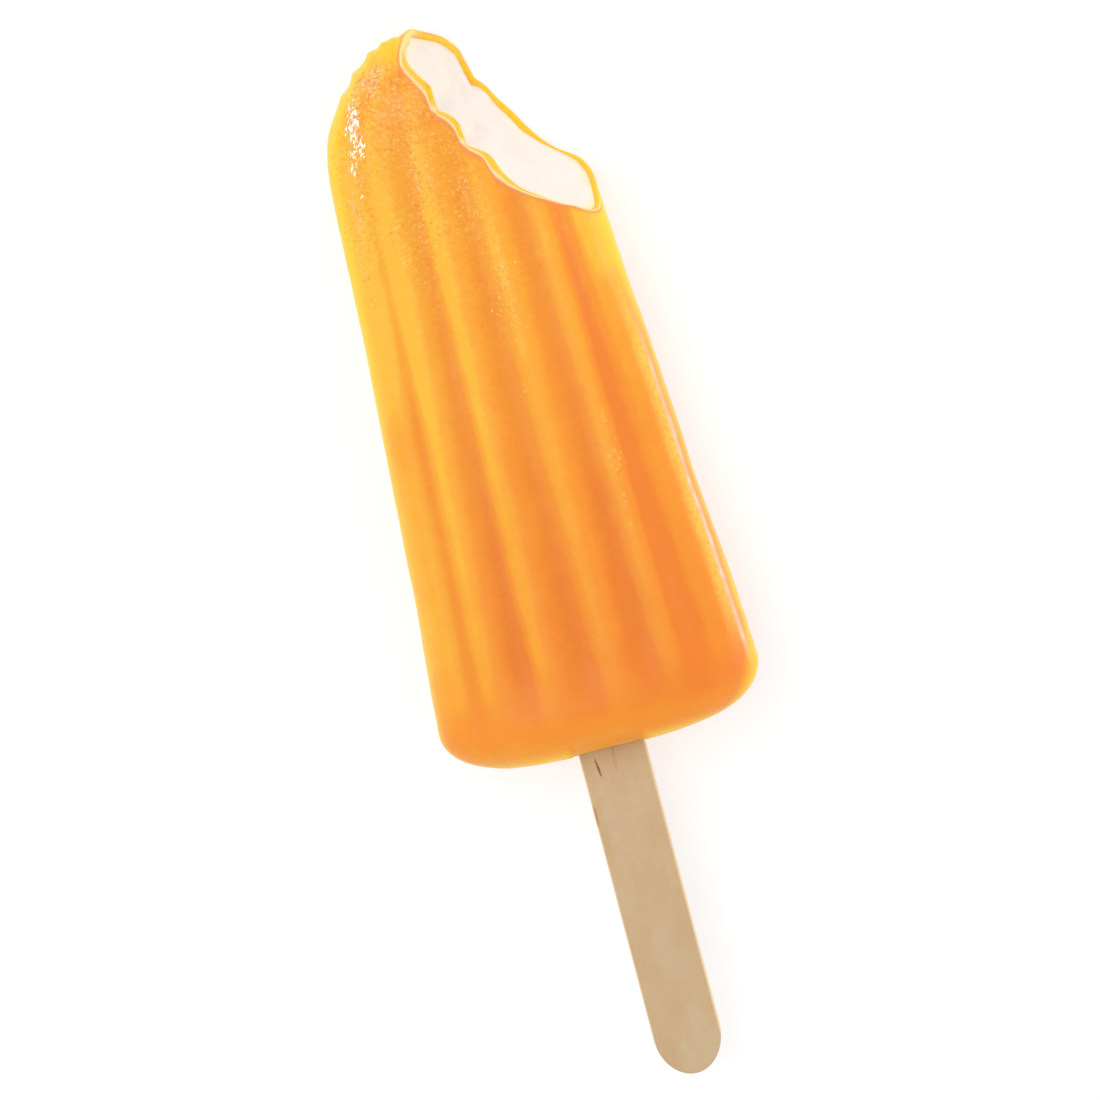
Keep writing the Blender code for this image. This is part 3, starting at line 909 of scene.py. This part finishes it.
def orange_coat(surface):
    """Coat as one closed grid: up the outside, over the rounded lip and down the inside.

    Each column runs from the base to where it crosses the bitten line, so the rows follow the
    bite. The lip is a straight blend from outer to inner edge, raised by half a sine wave.
    """
    across, deep = section()
    outer_w = bite_edge(across, deep, 0.0, FLUTE_DEPTH, bite_line)
    wall = wall_at_bite(across, deep)
    inner_w = bite_edge(across, deep, wall, INNER_FLUTE_DEPTH, cream_line)
    edge_run = run_of_w(outer_w)
    body = np.linspace(0.0, 1.0, BODY_ROWS + 1)[1:, None] * (edge_run - EDGE_BAND)
    close = EDGE_BAND * (1.0 - np.linspace(0.0, 1.0, EDGE_ROWS + 1)[1:, None]) ** 1.3
    run = np.concatenate([body, edge_run - close])
    plain = body_points(w_of_run(run), across, deep, 0.0, FLUTE_DEPTH)
    relief = coat_relief(plain, edge_run - run)
    outer = plain + normals_of(plain) * relief[..., None]

    start = outer[-1]
    inner_edge = inner_points(inner_w, 1.0, across, deep, 0.0)
    along = np.roll(start, -1, 0) - np.roll(start, 1, 0)
    rise = np.cross(inner_edge - start, along)
    rise /= np.linalg.norm(rise, axis=-1, keepdims=True)
    k = np.linspace(0.0, 1.0, LIP_ROWS + 1)[1:, None, None]
    bulge = LIP_BULGE * wall[:, None] * np.sin(np.pi * k) ** 0.8
    rough = LIP_ROUGHNESS * lumps(start, 1.3, 21)[:, None] * np.sin(np.pi * k)
    lip = start * (1 - k) + inner_edge * k + rise * (bulge + rough)

    down = np.linspace(1.0, 0.0, INSIDE_ROWS + 2)[1:-1, None] ** 0.8
    inside = inner_points(inner_w, down, across, deep, 0.0)
    rows = np.concatenate([outer, lip, inside])
    count = len(rows)
    poles = np.array([[0.0, 0.0, 0.0], [0.0, COAT_WALL, 0.0]])
    points = np.concatenate([rows.reshape(-1, 3), poles])
    ring = np.arange(COLUMNS)
    triangles = np.concatenate([
        fan(ring, len(points) - 2, True),
        fan(ring + (count - 1) * COLUMNS, len(points) - 1, False),
    ])

    share = np.broadcast_to(across, rows.shape[:2])
    on_outside, on_lip, on_inside = (np.zeros(part.shape[:2]) for part in (outer, lip, inside))
    within = np.concatenate([on_outside, on_lip + k[..., 0], on_inside + 1.0])
    below = np.concatenate([edge_run - run, on_lip, on_inside + 9.0])
    marks = coat_marks(np.concatenate([plain, lip, inside]), share, below, within)
    marks = {name: np.append(values, [values.ravel()[0]] * 2) for name, values in marks.items()}
    quads = closed_grid(count, COLUMNS)
    make_piece("orange_coat", points, quads, triangles, marks, surface, "shell")


def front_skin(share, w):
    """Point of the coat's fluted front at a share of the half width and at w."""
    deep = (1.0 - np.abs(share) ** SECTION_FULLNESS) ** (1.0 / SECTION_FULLNESS)
    return body_points(w, share, deep, 0.0, FLUTE_DEPTH)


def frost_grains(surface, shards=60, dots=950):
    """Loose ice crystals on the upper left: flattened wedges, half sunk in the coat.

    Each is a triangle with a peak above and below. The first ones are long shards in the frost's
    first patches, the rest small dots whose places are drawn from more of them. A patch gets
    them by its strength squared times its area.
    """
    draw = np.random.default_rng(17)
    count = shards + dots
    long = np.arange(count) < shards
    patches = np.array(FROST[:GRAIN_PATCHES])
    strength = patches[:, 4] ** 2 * patches[:, 2] * patches[:, 3]
    bright = strength * (np.arange(len(patches)) < SHARD_PATCHES)
    pick = np.concatenate([
        draw.choice(len(patches), shards, p=bright / bright.sum()),
        draw.choice(len(patches), dots, p=strength / strength.sum()),
    ])
    spread = np.where(long, 0.6, 0.65)
    x = patches[pick, 0] + spread * patches[pick, 2] * draw.normal(size=count)
    h = np.minimum(patches[pick, 1] + spread * patches[pick, 3] * draw.normal(size=count), 107.0)
    w = np.interp(h, ring_at(np.linspace(1, 3, 2001), 0.0)[2], np.linspace(1, 3, 2001))
    share = np.clip(x / ring_at(w, 0.0)[0], -0.99, 0.99)

    seat = front_skin(share, w)
    across = front_skin(share + 0.004, w) - seat
    upward = front_skin(share, w + 0.002) - seat
    across /= np.linalg.norm(across, axis=-1, keepdims=True)
    normal = np.cross(across, upward)
    normal /= np.linalg.norm(normal, axis=-1, keepdims=True)
    upward = np.cross(normal, across)

    size = np.where(long, 0.13 + 0.14 * draw.random(count), 0.06 + 0.1 * draw.random(count) ** 2)
    turn = draw.random((count, 1)) * 6.28 + np.array([0.0, 2.1, 4.2])
    turn = turn + draw.normal(size=(count, 3)) * 0.3
    reach = size[:, None] * (0.7 + 0.6 * draw.random((count, 3)))
    along = np.where(long, 2.6, 1.0)[:, None] * np.cos(turn) * reach
    aside = np.sin(turn) * reach
    lean = (1.05 + 0.45 * draw.normal(size=count))[:, None]
    corner = (along * np.cos(lean) - aside * np.sin(lean))[..., None] * across[:, None]
    corner = corner + (along * np.sin(lean) + aside * np.cos(lean))[..., None] * upward[:, None]
    tilt = draw.normal(size=(count, 3, 1)) * 0.2 * size[:, None, None]
    corner = seat[:, None] + corner + normal[:, None] * (tilt + 0.06)
    peak = corner.mean(1) + normal * (0.02 + 0.25 * size)[:, None]
    root = corner.mean(1) - normal * (0.06 + 0.3 * size)[:, None]

    points = np.concatenate([corner, peak[:, None], root[:, None]], 1)
    first = np.arange(count)[:, None, None] * 5
    wedge = np.array([(0, 1, 3), (1, 2, 3), (2, 0, 3), (1, 0, 4), (2, 1, 4), (0, 2, 4)])
    triangles = (first + wedge).reshape(-1, 3)
    pink = np.where(long, 0.3 * draw.random(count), 0.45 + 0.55 * draw.random(count))
    marks = {"pink": np.repeat(pink, 5)}
    quads = np.zeros((0, 4), int)
    made = make_piece("frost_grains", points.reshape(-1, 3), quads, triangles, marks,
                      surface, "shell")
    made.data.shade_flat()


def cream_core(surface):
    """Core as one closed grid: up inside the coat, then over the bitten face to its middle.

    The face blends each place on its edge towards the face's middle, and takes its q from the
    bitten line there, with soft lumps that fade in from the edge.
    """
    across, deep = section()
    wall = wall_at_bite(across, deep) + CREAM_GAP
    edge_w = bite_edge(across, deep, wall, INNER_FLUTE_DEPTH, cream_line)
    up = np.linspace(0.0, 1.0, SIDE_ROWS + 1)[1:, None] ** 0.8
    side = inner_points(edge_w, up, across, deep, CREAM_GAP)
    p, _ = bite_frame(side[-1])
    out = np.linspace(1.0, 0.0, FACE_ROWS + 2)[1:-1, None] ** 1.15
    face_p = FACE_MIDDLE + (p - FACE_MIDDLE) * out
    face_z = side[-1, :, 2] * out
    flat_places = np.stack([face_p, 0 * face_p, face_z], -1)
    rough = 0.10 + 0.14 * lumps(flat_places, 3.4, 31) + 0.05 * lumps(flat_places, 1.2, 32)
    q = cream_line(face_p, face_z) + ramp(1.0 - out, 0.0, 0.12) * rough
    rows = np.concatenate([side, from_bite_frame(face_p, q, face_z)])
    count = len(rows)

    base_pole = [[0.0, COAT_WALL + CREAM_GAP, 0.0]]
    middle, level = np.array([FACE_MIDDLE]), np.array([0.0])
    face_pole = from_bite_frame(middle, cream_line(middle, level) - 0.12, level)
    points = np.concatenate([rows.reshape(-1, 3), base_pole, face_pole])
    ring = np.arange(COLUMNS)
    triangles = np.concatenate([
        fan(ring, len(points) - 2, True),
        fan(ring + (count - 1) * COLUMNS, len(points) - 1, False),
    ])
    near = ramp(np.broadcast_to(out, face_p.shape), 0.9, 1.0)
    near = np.concatenate([np.ones(side.shape[:2]), near])
    marks = {
        "near_coat": np.append(near, [1.0, 0.0]),
        "milky": 0.45 * ramp(points[:, 0], 2.0, 12.0),
    }
    quads = closed_grid(count, COLUMNS)
    make_piece("cream_core", points, quads, triangles, marks, surface, "core")


def wooden_stick(surface, end_columns=80, side_columns=160, face_rows=13, edge_rows=7):
    """Stick as one closed grid round its outline: top face, rounded edge and bottom face.

    The outline is two straight sides with half an ellipse at each end. The edge is a quarter
    circle above and below. The faces draw the outline in to the stick's middle line, and the
    two rows there are joined across by quads. All of it is slightly wavy.
    """
    turn = np.linspace(0.0, np.pi, end_columns)
    straight = np.linspace(0.0, 1.0, side_columns + 2)[1:-1]
    low = STICK_END - STICK_BELOW
    high = STICK_INSIDE - STICK_END
    x = np.concatenate([
        STICK_HALF_WIDTH * np.cos(turn), np.full(side_columns, -STICK_HALF_WIDTH),
        -STICK_HALF_WIDTH * np.cos(turn), np.full(side_columns, STICK_HALF_WIDTH),
    ])
    h = np.concatenate([
        high + STICK_END * np.sin(turn), high + (low - high) * straight,
        low - STICK_END * np.sin(turn), low + (high - low) * straight,
    ])
    outline = np.stack([x, h], -1)
    along = np.roll(outline, -1, 0) - np.roll(outline, 1, 0)
    out = np.stack([along[:, 1], -along[:, 0]], -1)
    out /= np.linalg.norm(out, axis=-1, keepdims=True)

    arc = np.linspace(0.0, np.pi / 2, edge_rows)
    inset = STICK_EDGE * (1 - np.sin(arc))
    height = STICK_HALF_THICKNESS - STICK_EDGE * (1 - np.cos(arc))
    draw = np.linspace(0.02, 1.0, face_rows + 1)[:-1]
    face = np.ones(face_rows)
    insets = np.concatenate([face * STICK_EDGE, inset, inset[::-1], face * STICK_EDGE])
    level = face * STICK_HALF_THICKNESS
    heights = np.concatenate([level, height, -height[::-1], -level])
    draws = np.concatenate([draw, np.ones(2 * edge_rows), draw[::-1]])
    flat = outline[None] - out[None] * insets[:, None, None]
    heights = np.broadcast_to(heights[:, None], flat.shape[:2])
    rows = np.stack([flat[..., 0] * draws[:, None], flat[..., 1], heights], -1)
    rows[..., 2] += 0.03 * lumps(rows * (1.0, 0.15, 0.0), 2.4, 41)

    count, columns = rows.shape[:2]
    ring = np.arange(columns)
    pairs = (columns - ring + end_columns - 1) % columns
    caps = []
    for first, flip in ((0, True), ((count - 1) * columns, False)):
        a = end_columns // 2 + ring[: columns // 2 - 1]
        b = a + 1
        quad = first + np.stack([a, b, pairs[b], pairs[a]], -1) % columns
        caps.append(quad if flip else quad[:, ::-1])
    quads = np.concatenate([closed_grid(count, columns), *caps])
    points = rows.reshape(-1, 3)
    # Painted highlight along the stick's rounded edges
    marks = {"edge_highlight": 0.85 * ramp(np.abs(points[:, 0]), 4.7, 4.95)}
    triangles = np.zeros((0, 3), int)
    make_piece("wooden_stick", points, quads, triangles, marks, surface, "stick")


orange_coat(orange_ice())
frost_grains(white_frost())
cream_core(ice_cream())
wooden_stick(stick_wood())


# Floor, light and camera


def floor(surface, reach=3.0):
    """One flat square that reaches this many metres each way."""
    mesh = bpy.data.meshes.new("pale_floor")
    corners = [(-reach, -reach, 0), (reach, -reach, 0), (reach, reach, 0), (-reach, reach, 0)]
    mesh.from_pydata(corners, [], [(0, 1, 2, 3)])
    mesh.materials.append(surface)
    made = bpy.data.objects.new("pale_floor", mesh)
    bpy.context.scene.collection.objects.link(made)


def area_light(name, place, aim, size, power):
    """White light from a rectangle at a place, turned to what it is aimed at."""
    lamp = bpy.data.lights.new(name, "AREA")
    lamp.shape = "RECTANGLE"
    lamp.size, lamp.size_y = size
    lamp.energy = power
    made = bpy.data.objects.new(name, lamp)
    bpy.context.scene.collection.objects.link(made)
    made.location = place
    made.rotation_euler = (Vector(aim) - Vector(place)).to_track_quat("-Z", "Y").to_euler()


def studio():
    """Even white surroundings, a large soft light from above and a low strip at the right."""
    world = bpy.data.worlds.new("studio")
    bpy.context.scene.world = world
    world.use_nodes = True
    back = world.node_tree.nodes["Background"]
    back.inputs["Color"].default_value = (1.0, 1.0, 1.0, 1.0)
    back.inputs["Strength"].default_value = 0.78
    area_light("key", (-0.28, 0.36, 1.0), (0, 0.02, 0), (0.7, 0.7), 3.8)
    area_light("right_strip", (0.45, 0.0, 0.055), (0, 0, 0.012), (0.5, 0.12), 0.5)


def camera():
    """Looks down on the lolly from the photo's side, leaning it as the photo does."""
    turn = Matrix.Rotation(-REST_TURN, 3, "X")
    back = turn @ Vector((math.tan(VIEW_TO_RIGHT), math.tan(VIEW_TO_TIP), 1.0)).normalized()
    axis = turn @ Vector((0.0, 1.0, 0.0))
    up = (axis - axis.dot(back) * back).normalized()
    right = up.cross(back)
    aim = Vector(lay([0.0, 0.0, 0.0])) + (right * AIM_ACROSS + up * AIM_ALONG) * MM
    made = bpy.data.cameras.new("camera")
    made.sensor_width = 36.0
    made.lens = 400.0
    made.clip_end = 20.0
    field = PHOTO_SIDE / PIXELS_PER_MM * MM
    distance = field * made.lens / made.sensor_width
    eye = bpy.data.objects.new("camera", made)
    bpy.context.scene.collection.objects.link(eye)
    lean_up = up * math.cos(LEAN) + right * math.sin(LEAN)
    lean_right = lean_up.cross(back)
    turned = Matrix((lean_right, lean_up, back)).transposed().to_4x4()
    turned.translation = aim + back * distance
    eye.matrix_world = turned
    bpy.context.scene.camera = eye


floor(pale_floor())
studio()
camera()
bpy.context.scene.view_settings.view_transform = "Standard"
